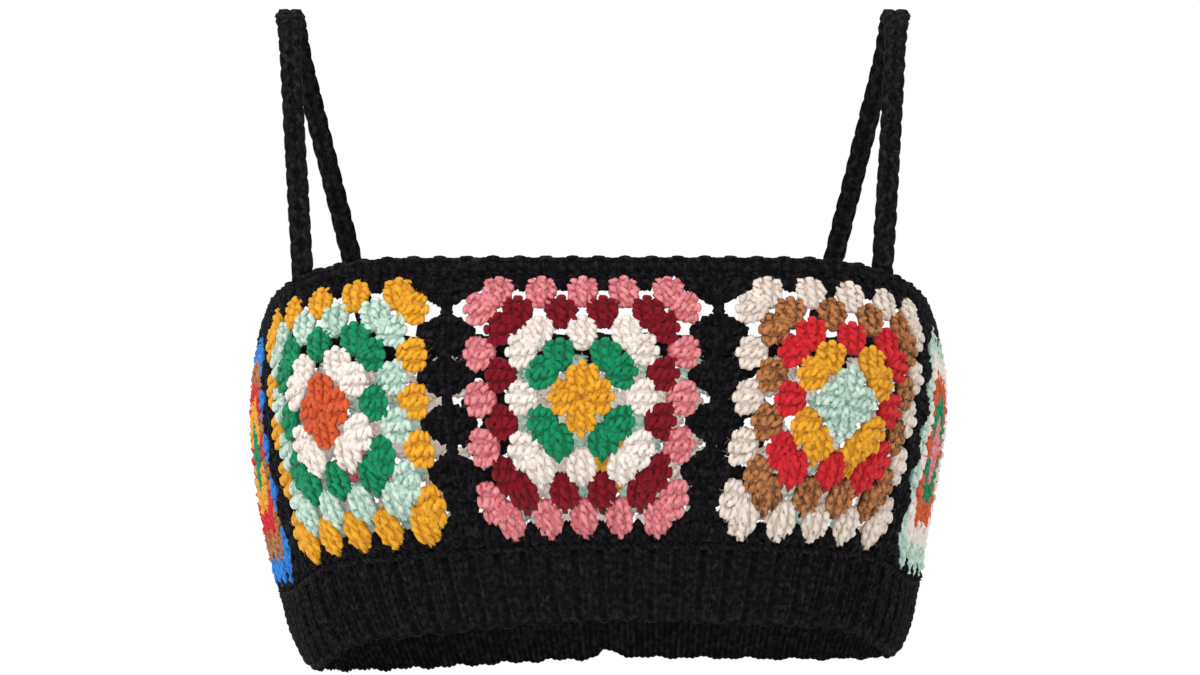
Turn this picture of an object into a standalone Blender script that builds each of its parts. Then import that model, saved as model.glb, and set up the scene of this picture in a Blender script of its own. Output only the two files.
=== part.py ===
"""Crochet crop top: eight granny squares between a crocheted top edge and a ribbed band, on two cord straps.

Metres, +Z up, the wearer facing -Y. The origin is midway between the undersides of the two strap crests.
The cloth keeps the round it has when it is worn, with nobody in it.
"""

import functools
import math
from collections import namedtuple

import bmesh
import bpy
import numpy as np

COLLECTION = "Crochet crop top"

# The whole garment
GARMENT_HEM_Z = -0.2685  # lowest point of the hem, at the sides
FRONT_RISE = 0.015  # how much higher the front of the hem sits
BODY_LENGTH = 0.1420  # hem to top edge along the front
SEAM_GAP = 0.0003
SHARP_EDGE = math.radians(50)

# Plan sections of the inside of the cloth, one row for each height over the hem. Middle is how far the body
# hangs off the middle of the straps. Splay widens the back of a section against its front, for each metre of
# depth. Squareness is 2 for an ellipse and more for a box.
Section = namedtuple("Section", "height middle half_width front_depth back_depth splay squareness")
SECTIONS = (
    Section(0.000, 0.0046, 0.1180, 0.0720, 0.0710, 1.50, 3.1),
    Section(0.012, 0.0038, 0.1230, 0.0745, 0.0725, 1.60, 3.3),
    Section(0.030, 0.0030, 0.1267, 0.0800, 0.0780, 1.60, 3.6),
    Section(0.048, 0.0020, 0.1300, 0.0915, 0.0900, 1.40, 4.0),
    Section(0.073, 0.0018, 0.1350, 0.1025, 0.1010, 1.15, 4.3),
    Section(0.105, 0.0024, 0.1393, 0.1080, 0.1070, 0.95, 4.3),
    Section(0.125, 0.0026, 0.1390, 0.1080, 0.1075, 0.80, 4.2),
    Section(0.145, 0.0026, 0.1360, 0.1050, 0.1040, 0.65, 4.0),
)
BACK_SQUARENESS = 0.88  # of the front's
RING_STEPS = 1440
TURN_STEP = 0.002  # for the slope of the cloth round the body and up it
HEIGHT_STEP = 0.0015

# How far the cloth sags below the level of the front. A sag begins and ends at these shares of the girth
# from the front centre.
Sag = namedtuple("Sag", "amount begins ends")
TOP_SAG = Sag(0.0160, 0.097, 0.235)
HEM_ARCH = Sag(0.0042, 0.000, 0.160)
HEM_SAG = Sag(0.0095, 0.145, 0.225)
BACK_RISE = Sag(-0.0028, 0.330, 0.500)
HEM_TILT = 0.0028  # the hem rides higher on the wearer's left

# Granny squares: a lattice of stitch clusters, 13 units across a square with its black joining round
SQUARES = 8
SQUARE_WIDTH = 0.110
UNITS = 13
OUTER = 6  # clusters of the joining round lie this many units from the middle
EDGE = UNITS / 2
SQUARE_TURN = -0.0074  # the middle square sits this share of the girth off the front centre
SQUARE_MIDDLE = 0.0872  # height over the hem
ROW_PITCH = 0.00905
ROW_SQUASH = 0.000118  # rows are closer above the middle than below it
COLOURED = 5.6  # units from the middle to the tips of the fifth round
CLOTH = 0.0021
CLUSTER_CROWN = 0.0017  # how much a cluster stands over the gaps beside it

# Half the width of the open gaps, in lattice units, by round
GAP_HALF = {6: 0.36, 5: 0.30, 4: 0.26}
JOINING_GAPS_ABOVE = -2  # below this row the rib draws the gaps of the joining round shut

# Ribbed band
RIB_HEIGHT = 0.0298
RIB_GIRTH = 0.700
RIBS = 68
RIB_STEPS = ((0.0, 0.0), (0.27, 1.0), (0.73, 1.0))  # place in the rib, share of the rib's height
RIB_RAISE = 0.0013
RIB_WALL = 0.0022
RIB_ROWS = 3
NOTCH_HALF_TURN = 0.006
NOTCH_HEIGHT = 0.0040

# Crocheted top edge
EDGING_HEIGHT = 0.0030
EDGING_WALL = 0.0028
EDGING_BUMPS = 80
EDGING_RAISE = 0.0007

# Straps: cords that lie flat over the shoulder
STRAP_CREST_X = 0.1270
STRAP_CREST_Y = 0.0050
STRAP_FRONT_X = 0.1162
STRAP_BACK_X = 0.0960
FOOT_CLEARANCE = 0.0007
STRAP_ROUNDING = 0.55  # of half the span: larger is a rounder shoulder
STRAP_CREST_WIDTH = 0.0118
STRAP_LEG_WIDTH = 0.0084
STRAP_THICKNESS = 0.0040
STRAP_SECTIONS = 41
STRAP_SIDES = 8
STRAP_FLARE = 0.35  # share of a leg over which it narrows from the crest
STRAP_PLACE_STEP = 0.01  # for the direction of the strap

YARN_ROUGHNESS = 0.9
BLACK_YARN = (0.012, 0.011, 0.013)
PANEL_COLOURS = {
    "square_front": (0.62, 0.16, 0.20),
    "square_front_left": (0.85, 0.80, 0.72),
    "square_front_right": (0.80, 0.42, 0.05),
    "square_side_left": (0.42, 0.72, 0.62),
    "square_side_right": (0.05, 0.25, 0.62),
    "square_back_left": (0.80, 0.71, 0.63),
    "square_back": (0.62, 0.75, 0.66),
    "square_back_right": (0.86, 0.79, 0.73),
}
PANEL_ORDER = (
    "square_front",
    "square_front_left",
    "square_side_left",
    "square_back_left",
    "square_back",
    "square_back_right",
    "square_side_right",
    "square_front_right",
)


def smooth_step(value, low, high):
    share = min(max((value - low) / (high - low), 0.0), 1.0)
    return share * share * (3 - 2 * share)


def section_at(height):
    """The section at this height, read off a smooth curve through the table's rows."""
    rows = np.array(SECTIONS)
    heights = rows[:, 0]
    slopes = np.gradient(rows, heights, axis=0)
    index = int(np.clip(np.searchsorted(heights, height) - 1, 0, len(heights) - 2))
    span = heights[index + 1] - heights[index]
    u = (height - heights[index]) / span
    low = rows[index] * (2 * u**3 - 3 * u**2 + 1) + slopes[index] * span * (u**3 - 2 * u**2 + u)
    high = rows[index + 1] * (3 * u**2 - 2 * u**3) + slopes[index + 1] * span * (u**3 - u**2)
    return Section(*(low + high))


@functools.lru_cache(maxsize=None)
def ring_at(height):
    """The section's outline as arrays of turn, x and y. Turn is the share of the girth from the front."""
    section = section_at(height)
    angle = np.linspace(-math.pi, math.pi, RING_STEPS + 1)
    forward = np.cos(angle)
    sideways = np.sin(angle)
    power = np.where(forward > 0, section.squareness, section.squareness * BACK_SQUARENESS)
    depth = np.where(forward > 0, section.front_depth, section.back_depth)
    x = section.half_width * np.sign(sideways) * np.abs(sideways) ** (2 / power)
    y = -depth * np.sign(forward) * np.abs(forward) ** (2 / power)
    x = section.middle + x * (1 + section.splay * y)
    arc = np.concatenate([[0], np.cumsum(np.hypot(np.diff(x), np.diff(y)))])
    return (arc - arc[RING_STEPS // 2]) / arc[-1], x, y


def eased(sag, away):
    return sag.amount * smooth_step(away, sag.begins, sag.ends)


def drop_at(turn, height):
    """How far the cloth hangs below the level of the front."""
    away = abs(turn)
    hem = eased(HEM_ARCH, away) + eased(HEM_SAG, away) - HEM_TILT * math.sin(math.tau * turn)
    share = min(max(height / BODY_LENGTH, 0.0), 1.0)
    return eased(TOP_SAG, away) * share + hem * (1 - share) + eased(BACK_RISE, away)


def inside(turn, height):
    """A point of the inside of the cloth."""
    turn = (turn + 0.5) % 1.0 - 0.5
    turns, x, y = ring_at(round(height, 7))
    z = GARMENT_HEM_Z + FRONT_RISE + height - drop_at(turn, height)
    return np.array([np.interp(turn, turns, x), np.interp(turn, turns, y), z])


def on_body(turn, height, out=0.0):
    """A point this far out from the inside of the cloth, square to it."""
    around = inside(turn + TURN_STEP, height) - inside(turn - TURN_STEP, height)
    upward = inside(turn, height + HEIGHT_STEP) - inside(turn, height - HEIGHT_STEP)
    normal = np.cross(around, upward)
    return inside(turn, height) + normal * (out / np.linalg.norm(normal))


def yarn_material(name, colour):
    material = bpy.data.materials.new(name)
    material.use_nodes = True
    shader = material.node_tree.nodes["Principled BSDF"]
    shader.inputs["Base Color"].default_value = (*colour, 1.0)
    shader.inputs["Roughness"].default_value = YARN_ROUGHNESS
    shader.inputs["Metallic"].default_value = 0.0
    return material


class Sheet:
    """An open sheet on the body, which close() thickens outward into one solid."""

    def __init__(self):
        self.bm = bmesh.new()
        layers = self.bm.verts.layers.float
        self.turn = layers.new("turn")
        self.height = layers.new("height")
        self.lift = layers.new("lift")
        self.dropped = []

    def point(self, turn, height, lift=0.0):
        vertex = self.bm.verts.new(inside(turn, height))
        vertex[self.turn] = turn
        vertex[self.height] = height
        vertex[self.lift] = lift
        return vertex

    def close(self, wall):
        made = bmesh.ops.extrude_face_region(self.bm, geom=self.bm.faces[:], use_keep_orig=True)
        for vertex in made["geom"]:
            if isinstance(vertex, bmesh.types.BMVert):
                out = wall + vertex[self.lift]
                vertex.co = on_body(vertex[self.turn], vertex[self.height], out)
        if self.dropped:
            bmesh.ops.dissolve_verts(self.bm, verts=self.dropped)
        bmesh.ops.recalc_face_normals(self.bm, faces=self.bm.faces[:])


def add_object(name, bm, colour, collection):
    mesh = bpy.data.meshes.new(name)
    bm.to_mesh(mesh)
    bm.free()
    mesh.shade_smooth()
    mesh.set_sharp_from_angle(angle=SHARP_EDGE)
    mesh.materials.append(yarn_material(name + " yarn", colour))
    obj = bpy.data.objects.new(name, mesh)
    collection.objects.link(obj)
    return obj


def row_height(row):
    """Height over the hem of a row of the lattice, with the joining round drawn in at the bottom and top."""
    within = min(max(row, -COLOURED), COLOURED)
    height = SQUARE_MIDDLE + ROW_PITCH * within - ROW_SQUASH * within**2
    past = abs(row) - COLOURED
    if past <= 0:
        return height
    last = RIB_HEIGHT + SEAM_GAP if row < 0 else BODY_LENGTH - EDGING_HEIGHT - SEAM_GAP
    return height + (last - height) * past / (EDGE - COLOURED)


def gap_half(column, row):
    """Half the width of the open gap at this lattice point, or 0 where the yarn closes it."""
    number = max(abs(column), abs(row))
    along = min(abs(column), abs(row))
    if number not in GAP_HALF or along > number - 2:
        return 0.0
    if number == OUTER and (abs(row) == OUTER or row < JOINING_GAPS_ABOVE):
        return 0.0
    return GAP_HALF[number]


class SquareSheet(Sheet):
    """One granny square: a cell for each cluster, with the gaps between clusters left open."""

    def __init__(self, index):
        super().__init__()
        self.index = index
        self.made = {}
        self.inset = 1 - SEAM_GAP / SQUARE_WIDTH

    def at(self, column, row, lift=0.0):
        key = (round(column, 3), round(row, 3))
        if key not in self.made:
            turn = (self.index + self.inset * column / UNITS) / SQUARES + SQUARE_TURN
            self.made[key] = self.point(turn, row_height(row), lift)
        return self.made[key]

    def toward(self, column, row, step_column, step_row):
        """The cell's corner points on the side of one neighbouring gap, counterclockwise."""
        gap_column = column + step_column
        gap_row = row + step_row
        if max(abs(gap_column), abs(gap_row)) > OUTER:
            middle = (column + step_column / 2, row + step_row / 2)
            half = 0.5
            return [
                self.at(middle[0] + half * step_row, middle[1] - half * step_column),
                self.at(middle[0] - half * step_row, middle[1] + half * step_column),
            ]
        half = gap_half(gap_column, gap_row)
        if not half:
            return [self.at(gap_column, gap_row)]
        near = (gap_column - half * step_column, gap_row - half * step_row)
        return [
            self.at(near[0] + half * step_row, near[1] - half * step_column),
            self.at(near[0] - half * step_row, near[1] + half * step_column),
        ]

    def cluster(self, column, row):
        corners = []
        for step in ((1, 0), (0, 1), (-1, 0), (0, -1)):
            corners += self.toward(column, row, *step)
        crown = self.at(column, row, CLUSTER_CROWN)
        self.dropped.append(crown)
        for k, corner in enumerate(corners):
            self.bm.faces.new((crown, corner, corners[(k + 1) % len(corners)]))

    def edge_filler(self, along, side):
        """The joining stitches between two clusters of the joining round, out to the square's edge."""
        step_column, step_row = side
        column = OUTER * step_column + along * step_row
        row = OUTER * step_row - along * step_column
        half = gap_half(column, row)
        outer_column = column + step_column / 2
        outer_row = row + step_row / 2
        points = []
        for across in (-1, 1):
            near_column = column + half * (step_column + across * step_row)
            near_row = row + half * (step_row - across * step_column)
            far_column = outer_column + across * step_row / 2
            far_row = outer_row - across * step_column / 2
            points.append((self.at(near_column, near_row), self.at(far_column, far_row)))
        (near_a, far_a), (near_b, far_b) = points
        corners = [near_a, far_a, far_b] if near_a is near_b else [near_a, far_a, far_b, near_b]
        self.bm.faces.new(corners)

    def build(self):
        span = range(-OUTER, OUTER + 1)
        for column in span:
            for row in span:
                if (column + row) % 2:
                    self.cluster(column, row)
        for side in ((1, 0), (0, 1), (-1, 0), (0, -1)):
            for along in range(-OUTER, OUTER + 1, 2):
                self.edge_filler(along, side)


def make_squares(collection):
    for place, name in enumerate(PANEL_ORDER):
        sheet = SquareSheet(place)
        sheet.build()
        sheet.close(CLOTH)
        add_object(name, sheet.bm, PANEL_COLOURS[name], collection)


def notch_rise(turn, share_up):
    """How far the hem is drawn up beside the seam at the centre back."""
    beside = max(0.0, 1 - (0.5 - abs(turn)) / NOTCH_HALF_TURN)
    return NOTCH_HEIGHT * beside**1.5 * (1 - share_up)


def make_rib_band(collection):
    """The knitted band: ribs stand out from a plain inside, and the ends meet in a seam at the centre back."""
    sheet = Sheet()
    half_gap = SEAM_GAP / RIB_GIRTH / 2
    places = []
    for rib in range(RIBS):
        for place, share in RIB_STEPS:
            places.append(((rib + place) / RIBS - 0.5, share * RIB_RAISE))
    places.append((0.5, 0.0))
    places[0] = (-0.5 + half_gap, 0.0)
    places[-1] = (0.5 - half_gap, 0.0)
    columns = []
    for turn, raise_by in places:
        column = []
        for row in range(RIB_ROWS + 1):
            share_up = row / RIB_ROWS
            height = RIB_HEIGHT * share_up + notch_rise(turn, share_up)
            column.append(sheet.point(turn, height, raise_by))
        columns.append(column)
    for left, right in zip(columns, columns[1:]):
        for row in range(RIB_ROWS):
            sheet.bm.faces.new((left[row], right[row], right[row + 1], left[row + 1]))
    sheet.close(RIB_WALL)
    add_object("rib_band", sheet.bm, BLACK_YARN, collection)


def make_top_edging(collection):
    """The crochet row round the top, with a small bump at every stitch group."""
    sheet = Sheet()
    columns = []
    steps = 2 * EDGING_BUMPS
    for step in range(steps):
        bump = EDGING_RAISE * (step % 2)
        turn = step / steps - 0.5
        low = sheet.point(turn, BODY_LENGTH - EDGING_HEIGHT, bump)
        high = sheet.point(turn, BODY_LENGTH + bump, bump)
        columns.append((low, high))
    for k, (low, high) in enumerate(columns):
        next_low, next_high = columns[(k + 1) % steps]
        sheet.bm.faces.new((low, next_low, next_high, high))
    sheet.close(EDGING_WALL)
    add_object("top_edging", sheet.bm, BLACK_YARN, collection)


def strap_foot(side, back):
    """The middle of the strap's end, just clear of the top edge it is sewn to."""
    turns, x, y = ring_at(BODY_LENGTH)
    chosen = (y > 0) == back
    order = np.argsort(x[chosen])
    reach = side * (STRAP_BACK_X if back else STRAP_FRONT_X)
    turn = float(np.interp(reach, x[chosen][order], turns[chosen][order]))
    return on_body(turn, BODY_LENGTH + EDGING_RAISE + FOOT_CLEARANCE, EDGING_WALL / 2)


def strap_fall(away):
    """0 at the crest and 1 at the foot: a straight leg that rounds over the shoulder."""
    level = math.hypot(away, STRAP_ROUNDING) - STRAP_ROUNDING
    return level / (math.hypot(1, STRAP_ROUNDING) - STRAP_ROUNDING)


def strap_point(side, place):
    """The middle of the strap, for place from -1 at the front foot to 1 at the back foot."""
    crest = np.array([side * STRAP_CREST_X, STRAP_CREST_Y, STRAP_THICKNESS / 2])
    foot = strap_foot(side, place > 0)
    fall = strap_fall(abs(place))
    point = crest + (foot - crest) * fall
    point[1] = crest[1] + (foot[1] - crest[1]) * abs(place)
    return point


def make_strap(name, side, collection):
    """A loft of flat oval sections along the strap, which narrow from the crest down each leg."""
    bm = bmesh.new()
    rings = []
    for k in range(STRAP_SECTIONS):
        place = 2 * k / (STRAP_SECTIONS - 1) - 1
        middle = strap_point(side, place)
        ahead = strap_point(side, min(place + STRAP_PLACE_STEP, 1.0))
        behind = strap_point(side, max(place - STRAP_PLACE_STEP, -1.0))
        along = ahead - behind
        if abs(place) == 1:
            along = np.array([0.0, 0.0, -place])
        along = along / np.linalg.norm(along)
        across = np.array([1.0, 0.0, 0.0]) - along * along[0]
        across = across / np.linalg.norm(across)
        through = np.cross(along, across)
        narrowing = smooth_step(abs(place), 0.0, STRAP_FLARE)
        width = STRAP_CREST_WIDTH + (STRAP_LEG_WIDTH - STRAP_CREST_WIDTH) * narrowing
        ring = []
        for side_number in range(STRAP_SIDES):
            angle = 2 * math.pi * (side_number + 0.5) / STRAP_SIDES
            round_part = across * math.cos(angle) * width / 2
            flat_part = through * math.sin(angle) * STRAP_THICKNESS / 2
            ring.append(bm.verts.new(middle + round_part + flat_part))
        rings.append(ring)
    for ring, next_ring in zip(rings, rings[1:]):
        for k in range(STRAP_SIDES):
            after = (k + 1) % STRAP_SIDES
            bm.faces.new((ring[k], ring[after], next_ring[after], next_ring[k]))
    bm.faces.new(rings[0])
    bm.faces.new(rings[-1][::-1])
    bmesh.ops.recalc_face_normals(bm, faces=bm.faces[:])
    add_object(name, bm, BLACK_YARN, collection)


def main():
    for obj in list(bpy.data.objects):
        bpy.data.objects.remove(obj, do_unlink=True)
    collection = bpy.data.collections.new(COLLECTION)
    bpy.context.scene.collection.children.link(collection)
    make_squares(collection)
    make_rib_band(collection)
    make_top_edging(collection)
    make_strap("strap_right", -1, collection)
    make_strap("strap_left", 1, collection)


main()
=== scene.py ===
"""Looks of the crochet crop top: granny squares of real yarn stitches, a knitted rib, cords and a stage.

The cloth's form is the solids' own: places on it are a turn round the body from the front centre, a height
over the hem and a distance out from the inside. Stitches are drawn flat, in millimetres, and laid on it.
"""

import math
from collections import namedtuple

import bpy
import numpy as np
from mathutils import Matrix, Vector


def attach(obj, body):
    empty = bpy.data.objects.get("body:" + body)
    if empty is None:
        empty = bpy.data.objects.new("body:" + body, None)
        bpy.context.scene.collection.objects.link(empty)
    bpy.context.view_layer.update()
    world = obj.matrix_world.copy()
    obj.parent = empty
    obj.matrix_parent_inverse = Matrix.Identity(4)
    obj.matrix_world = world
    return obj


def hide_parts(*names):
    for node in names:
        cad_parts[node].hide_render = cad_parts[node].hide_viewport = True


bl_info = {
    "name": "Crochet crop top",
    "version": (1, 0, 0),
    "blender": (4, 5, 0),
    "location": "3D View > Sidebar > Crop top",
    "description": "Builds a crop top of crocheted granny squares with a knitted rib and cord straps",
    "category": "Add Mesh",
}

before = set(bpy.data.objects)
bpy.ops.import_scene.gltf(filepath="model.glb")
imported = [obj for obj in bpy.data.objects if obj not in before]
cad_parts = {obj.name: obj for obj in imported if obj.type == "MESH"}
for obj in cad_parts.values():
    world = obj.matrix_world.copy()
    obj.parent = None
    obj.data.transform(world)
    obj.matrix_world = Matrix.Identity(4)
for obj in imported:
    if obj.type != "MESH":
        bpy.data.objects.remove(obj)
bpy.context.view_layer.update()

TAU = math.tau
MM = 0.001
UNIT = 8.75  # millimetres in one unit of the granny lattice, where squares are drawn flat

# The body form, with the sizes of the solids
GARMENT_HEM_Z = -0.2685
FRONT_RISE = 0.015
BODY_LENGTH = 0.1420
Section = namedtuple("Section", "height middle half_width front_depth back_depth splay squareness")
SECTIONS = (
    Section(0.000, 0.0046, 0.1180, 0.0720, 0.0710, 1.50, 3.1),
    Section(0.012, 0.0038, 0.1230, 0.0745, 0.0725, 1.60, 3.3),
    Section(0.030, 0.0030, 0.1267, 0.0800, 0.0780, 1.60, 3.6),
    Section(0.048, 0.0020, 0.1300, 0.0915, 0.0900, 1.40, 4.0),
    Section(0.073, 0.0018, 0.1350, 0.1025, 0.1010, 1.15, 4.3),
    Section(0.105, 0.0024, 0.1393, 0.1080, 0.1070, 0.95, 4.3),
    Section(0.125, 0.0026, 0.1390, 0.1080, 0.1075, 0.80, 4.2),
    Section(0.145, 0.0026, 0.1360, 0.1050, 0.1040, 0.65, 4.0),
)
BACK_SQUARENESS = 0.88
Sag = namedtuple("Sag", "amount begins ends")
TOP_SAG = Sag(0.0160, 0.097, 0.235)
HEM_ARCH = Sag(0.0042, 0.000, 0.160)
HEM_SAG = Sag(0.0095, 0.145, 0.225)
BACK_RISE = Sag(-0.0028, 0.330, 0.500)
HEM_TILT = 0.0028
TURN_STEPS = 1440
FORM_LOW = -0.006
FORM_HIGH = 0.152
FORM_STEP = 0.001

# Granny squares
SQUARES = 8
SQUARE_TURN = -0.0074
SQUARE_MIDDLE = 0.0872
ROW_PITCH = 0.00905
ROW_SQUASH = 0.000118
COLOURED = 5.6
EDGE = 6.5
JOINING_ROUND = 6
RIB_HEIGHT = 0.0298
EDGING_HEIGHT = 0.0030
SEAM_GAP = 0.0003

# Knitted band
RIBS = 68
NOTCH_STEEP_SIDE = 0.006
NOTCH_GENTLE_SIDE = 0.024
NOTCH_HEIGHT = 0.0040
HEM_WAVE = 0.0004
SLOW_WAVES = 31

# Straps
STRAP_CREST_X = 0.1270
STRAP_CREST_Y = 0.0050
STRAP_FRONT_X = 0.1162
STRAP_BACK_X = 0.0960
STRAP_FOOT_RISE = 0.0014
STRAP_FOOT_OUT = 0.0014
STRAP_ROUNDING = 0.55
STRAP_CREST_WIDTH = 0.0118
STRAP_LEG_WIDTH = 0.0084
STRAP_THICKNESS = 0.0040
STRAP_FLARE = 0.35

# The five coloured rounds of each square from the middle out, going round the body from the front centre
SQUARE_ROUNDS = {
    "square_front": "amber green white burgundy pink",
    "square_front_left": "mint amber red brown cream",
    "square_side_left": "pink green coral white mint",
    "square_back_left": "amber cream mint white cream",
    "square_back": "amber mint white cream mint",
    "square_back_right": "pink white mint cream white",
    "square_side_right": "green amber red brown blue",
    "square_front_right": "coral white green mint amber",
}

# Yarns: own colour, colour of the flecks and of the painted shade in the creases, how strong the flecks are,
# and how far that painted crease shade takes the fleck colour
Yarn = namedtuple("Yarn", "colour fleck flecks creases", defaults=(0.85,))
YARNS = {
    "black": Yarn((0.0040, 0.0036, 0.0045), (0.027, 0.023, 0.028), 0.8, 0.0),
    "white": Yarn((0.86, 0.79, 0.73), (0.80, 0.66, 0.57), 0.4),
    "cream": Yarn((0.80, 0.71, 0.63), (0.70, 0.55, 0.45), 0.5),
    "amber": Yarn((0.80, 0.39, 0.024), (0.66, 0.25, 0.012), 0.5),
    "green": Yarn((0.006, 0.26, 0.11), (0.003, 0.14, 0.058), 0.5),
    "burgundy": Yarn((0.23, 0.004, 0.015), (0.10, 0.002, 0.007), 0.5),
    "pink": Yarn((0.76, 0.29, 0.30), (0.58, 0.06, 0.10), 0.8),
    "coral": Yarn((0.67, 0.105, 0.030), (0.52, 0.065, 0.018), 0.5),
    "mint": Yarn((0.62, 0.75, 0.66), (0.22, 0.44, 0.34), 0.9),
    "red": Yarn((0.66, 0.020, 0.028), (0.42, 0.010, 0.016), 0.5),
    "brown": Yarn((0.50, 0.20, 0.068), (0.055, 0.016, 0.006), 0.9, 1.0),
    "blue": Yarn((0.012, 0.22, 0.70), (0.008, 0.12, 0.45), 0.5),
}


def smooth_step(value, low, high):
    share = np.clip((value - low) / (high - low), 0.0, 1.0)
    return share * share * (3 - 2 * share)


def stacked(*parts):
    """Places out of their three parts, each a number or an array."""
    return np.stack(np.broadcast_arrays(*parts), axis=-1)


def eased(sag, away):
    return sag.amount * smooth_step(away, sag.begins, sag.ends)


def section_at(height):
    """The section at this height, read off a smooth curve through the table's rows."""
    rows = np.array(SECTIONS)
    heights = rows[:, 0]
    slopes = np.gradient(rows, heights, axis=0)
    index = int(np.clip(np.searchsorted(heights, height) - 1, 0, len(heights) - 2))
    span = heights[index + 1] - heights[index]
    u = (height - heights[index]) / span
    low = rows[index] * (2 * u**3 - 3 * u**2 + 1) + slopes[index] * span * (u**3 - 2 * u**2 + u)
    high = rows[index + 1] * (3 * u**2 - 2 * u**3) + slopes[index + 1] * span * (u**3 - u**2)
    return Section(*(low + high))


def drop_at(turn, height):
    """How far the cloth hangs below the level of the front."""
    away = np.abs(turn)
    hem = eased(HEM_ARCH, away) + eased(HEM_SAG, away) - HEM_TILT * np.sin(TAU * turn)
    share = min(max(height / BODY_LENGTH, 0.0), 1.0)
    return eased(TOP_SAG, away) * share + hem * (1 - share) + eased(BACK_RISE, away)


def form_ring(height):
    """The inside of the cloth all round at one height, at even steps of turn."""
    section = section_at(height)
    angle = np.linspace(-math.pi, math.pi, TURN_STEPS + 1)
    forward = np.cos(angle)
    sideways = np.sin(angle)
    power = np.where(forward > 0, section.squareness, section.squareness * BACK_SQUARENESS)
    depth = np.where(forward > 0, section.front_depth, section.back_depth)
    x = section.half_width * np.sign(sideways) * np.abs(sideways) ** (2 / power)
    y = -depth * np.sign(forward) * np.abs(forward) ** (2 / power)
    x = section.middle + x * (1 + section.splay * y)
    arc = np.concatenate([[0], np.cumsum(np.hypot(np.diff(x), np.diff(y)))])
    turns = (arc - arc[TURN_STEPS // 2]) / arc[-1]
    even = np.linspace(-0.5, 0.5, TURN_STEPS + 1)
    z = GARMENT_HEM_Z + FRONT_RISE + height - drop_at(even, height)
    return np.column_stack([np.interp(even, turns, x), np.interp(even, turns, y), z])


class BodyForm:
    """The inside of the cloth as a table of places and outward directions."""

    def __init__(self):
        heights = np.arange(FORM_LOW, FORM_HIGH, FORM_STEP)
        self.places = np.array([form_ring(height) for height in heights])
        loop = self.places[:, :-1]
        around = np.roll(loop, -1, axis=1) - np.roll(loop, 1, axis=1)
        around = np.concatenate([around, around[:, :1]], axis=1)
        normals = np.cross(around, np.gradient(self.places, axis=0))
        self.normals = normals / np.linalg.norm(normals, axis=2, keepdims=True)

    def point(self, turn, height, out):
        """Points this far out from the inside of the cloth. Each value is an array."""
        column = ((turn + 0.5) % 1.0) * TURN_STEPS
        row = np.clip((height - FORM_LOW) / FORM_STEP, 0, len(self.places) - 1.001)
        left = column.astype(int)
        low = row.astype(int)
        across = (column - left)[..., None]
        up = (row - low)[..., None]
        right = (left + 1) % (TURN_STEPS + 1)

        def read(table):
            bottom = table[low, left] * (1 - across) + table[low, right] * across
            top = table[low + 1, left] * (1 - across) + table[low + 1, right] * across
            return bottom * (1 - up) + top * up

        return read(self.places) + read(self.normals) * out[..., None]


body = BodyForm()


def row_height(row):
    """Height over the hem of a row of the lattice."""
    within = np.clip(row, -COLOURED, COLOURED)
    height = SQUARE_MIDDLE + ROW_PITCH * within - ROW_SQUASH * within**2
    past = np.clip((np.abs(row) - COLOURED) / (EDGE - COLOURED), 0, None)
    last = np.where(row < 0, RIB_HEIGHT + SEAM_GAP, BODY_LENGTH - EDGING_HEIGHT - SEAM_GAP)
    return height + (last - height) * past


def notch_rise(turn, share_up):
    """How far the hem is drawn up beside the seam at the centre back."""
    reach = np.where(turn < 0, NOTCH_STEEP_SIDE, NOTCH_GENTLE_SIDE)
    beside = np.clip(1 - (0.5 - np.abs(turn)) / reach, 0, None)
    return NOTCH_HEIGHT * beside**1.5 * np.clip(1 - share_up, 0, 1)


def lay_on_square(index):
    """Lays points of a flat square, in millimetres from its middle, on its place round the body."""

    def lay(points):
        turn = (index + points[..., 0] / UNIT / (2 * EDGE)) / SQUARES + SQUARE_TURN
        height = row_height(points[..., 1] / UNIT)
        return body.point(turn, height, points[..., 2] * MM)

    return lay


def lay_on_band(points):
    """Lays points given as turn, height and millimetres out, with the hem's waves and its notch."""
    turn = points[..., 0]
    height = points[..., 1]
    share_up = height / RIB_HEIGHT
    wave = HEM_WAVE * np.cos(TAU * RIBS * turn) + HEM_WAVE * np.cos(TAU * SLOW_WAVES * turn)
    height = height + notch_rise(turn, share_up) - wave * np.clip(1 - 2 * share_up, 0, 1)
    return body.point(turn, height, points[..., 2] * MM)


def directions_across(flat, closed, first_side):
    """Two directions across each strand, at each of its points, that twist as little as they can."""
    if closed:
        tangent = np.roll(flat, -1, axis=1) - np.roll(flat, 1, axis=1)
    else:
        tangent = np.gradient(flat, axis=1)
    tangent /= np.linalg.norm(tangent, axis=2, keepdims=True)
    if first_side is None:
        upright = np.abs(tangent[:, 0, 2:]) < 0.9
        aside = np.where(upright, (0.0, 0.0, 1.0), (1.0, 0.0, 0.0))
    else:
        aside = np.broadcast_to(np.asarray(first_side, dtype=float), (len(flat), 3)).copy()
    across = np.empty_like(flat)
    for step in range(flat.shape[1]):
        along = tangent[:, step]
        aside = aside - along * np.sum(aside * along, axis=1, keepdims=True)
        aside = aside / np.linalg.norm(aside, axis=1, keepdims=True)
        across[:, step] = aside
    return across, np.cross(tangent, across)


def tube_faces(number, steps, sides, closed=False):
    """Faces of some tubes of rings, each with capped ends or closed into a loop."""
    faces = []
    for tube in range(number):
        start = tube * steps * sides
        for step in range(steps if closed else steps - 1):
            low = start + step * sides
            high = start + (step + 1) % steps * sides
            for side in range(sides):
                after = (side + 1) % sides
                faces.append((low + side, low + after, high + after, high + side))
        if not closed:
            last = start + (steps - 1) * sides
            faces.append(tuple(start + side for side in reversed(range(sides))))
            faces.append(tuple(last + side for side in range(sides)))
    return faces


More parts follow.
